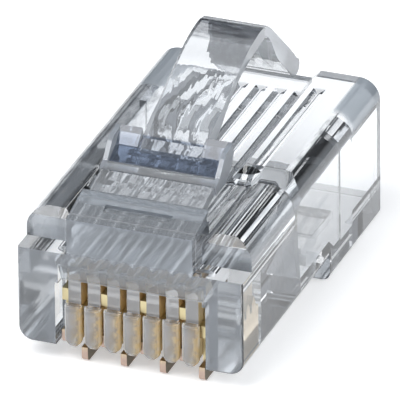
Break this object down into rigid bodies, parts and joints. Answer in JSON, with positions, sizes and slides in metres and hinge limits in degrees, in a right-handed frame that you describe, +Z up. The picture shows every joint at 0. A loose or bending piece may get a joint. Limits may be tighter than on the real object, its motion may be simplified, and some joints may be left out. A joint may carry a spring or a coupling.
{
  "type": "rj45 modular plug",
  "caption": "Clear modular plug for network cable, before crimping, with a spring latch, a guard leg over the cable end, gold contact blades and hinged strain relief bars.",
  "frame": {"origin": "centre of the plug's base: midway across the contacts and between the front face and the cable end, level with the underside of the deeper cable end", "axes": "+X across the contacts, to the right seen from the front with the latch on top; +Y from the front face to the cable end; +Z up to the latch"},
  "size_m": [0.0116, 0.0198, 0.0123],
  "materials": {
    "clear_plastic": "clear, polished with frosted side faces",
    "gold_plated_bronze": "gold plated edges"
  },
  "bodies": {
    "shell": {"housing": "clear_plastic"},
    "latch": {"latch": "clear_plastic"},
    "guard": {"latch_guard": "clear_plastic"},
    "conductor_bar": {"conductor_bar": "clear_plastic"},
    "strain_relief_bar": {"strain_relief_bar": "clear_plastic"},
    "blade_1": {"contact_1": "gold_plated_bronze"},
    "blade_2": {"contact_2": "gold_plated_bronze"},
    "blade_3": {"contact_3": "gold_plated_bronze"},
    "blade_4": {"contact_4": "gold_plated_bronze"},
    "blade_5": {"contact_5": "gold_plated_bronze"},
    "blade_6": {"contact_6": "gold_plated_bronze"},
    "blade_7": {"contact_7": "gold_plated_bronze"},
    "blade_8": {"contact_8": "gold_plated_bronze"}
  },
  "joints": [
    {"name": "latch_bend", "type": "hinge", "parent": "shell", "child": "latch", "pos_m": [0, -0.00755, 0.00807], "axis": [-1, 0, 0], "range_deg": [0, 12], "stiffness_Nm_per_rad": 0.05},
    {"name": "guard_bend", "type": "hinge", "parent": "latch", "child": "guard", "pos_m": [0, 0.0049, 0.01189], "axis": [1, 0, 0], "range_deg": [0, 40.5]},
    {"name": "conductor_bar_hinge", "type": "hinge", "parent": "shell", "child": "conductor_bar", "pos_m": [0, -0.00025, 0.00155], "axis": [1, 0, 0], "range_deg": [0, 25]},
    {"name": "strain_relief_hinge", "type": "hinge", "parent": "shell", "child": "strain_relief_bar", "pos_m": [0, 0.00435, 0.00095], "axis": [1, 0, 0], "range_deg": [0, 35]},
    {"name": "blade_1_crimp", "type": "slide", "parent": "shell", "child": "blade_1", "axis": [0, 0, 1], "range_m": [0, 0.0006]},
    {"name": "blade_2_crimp", "type": "slide", "parent": "shell", "child": "blade_2", "axis": [0, 0, 1], "range_m": [0, 0.00143]},
    {"name": "blade_3_crimp", "type": "slide", "parent": "shell", "child": "blade_3", "axis": [0, 0, 1], "range_m": [0, 0.0006]},
    {"name": "blade_4_crimp", "type": "slide", "parent": "shell", "child": "blade_4", "axis": [0, 0, 1], "range_m": [0, 0.00143]},
    {"name": "blade_5_crimp", "type": "slide", "parent": "shell", "child": "blade_5", "axis": [0, 0, 1], "range_m": [0, 0.0006]},
    {"name": "blade_6_crimp", "type": "slide", "parent": "shell", "child": "blade_6", "axis": [0, 0, 1], "range_m": [0, 0.00143]},
    {"name": "blade_7_crimp", "type": "slide", "parent": "shell", "child": "blade_7", "axis": [0, 0, 1], "range_m": [0, 0.0006]},
    {"name": "blade_8_crimp", "type": "slide", "parent": "shell", "child": "blade_8", "axis": [0, 0, 1], "range_m": [0, 0.00143]}
  ],
  "couplings": [
    {"joint": "guard_bend", "follows": "latch_bend", "ratio": 3.35}
  ]
}
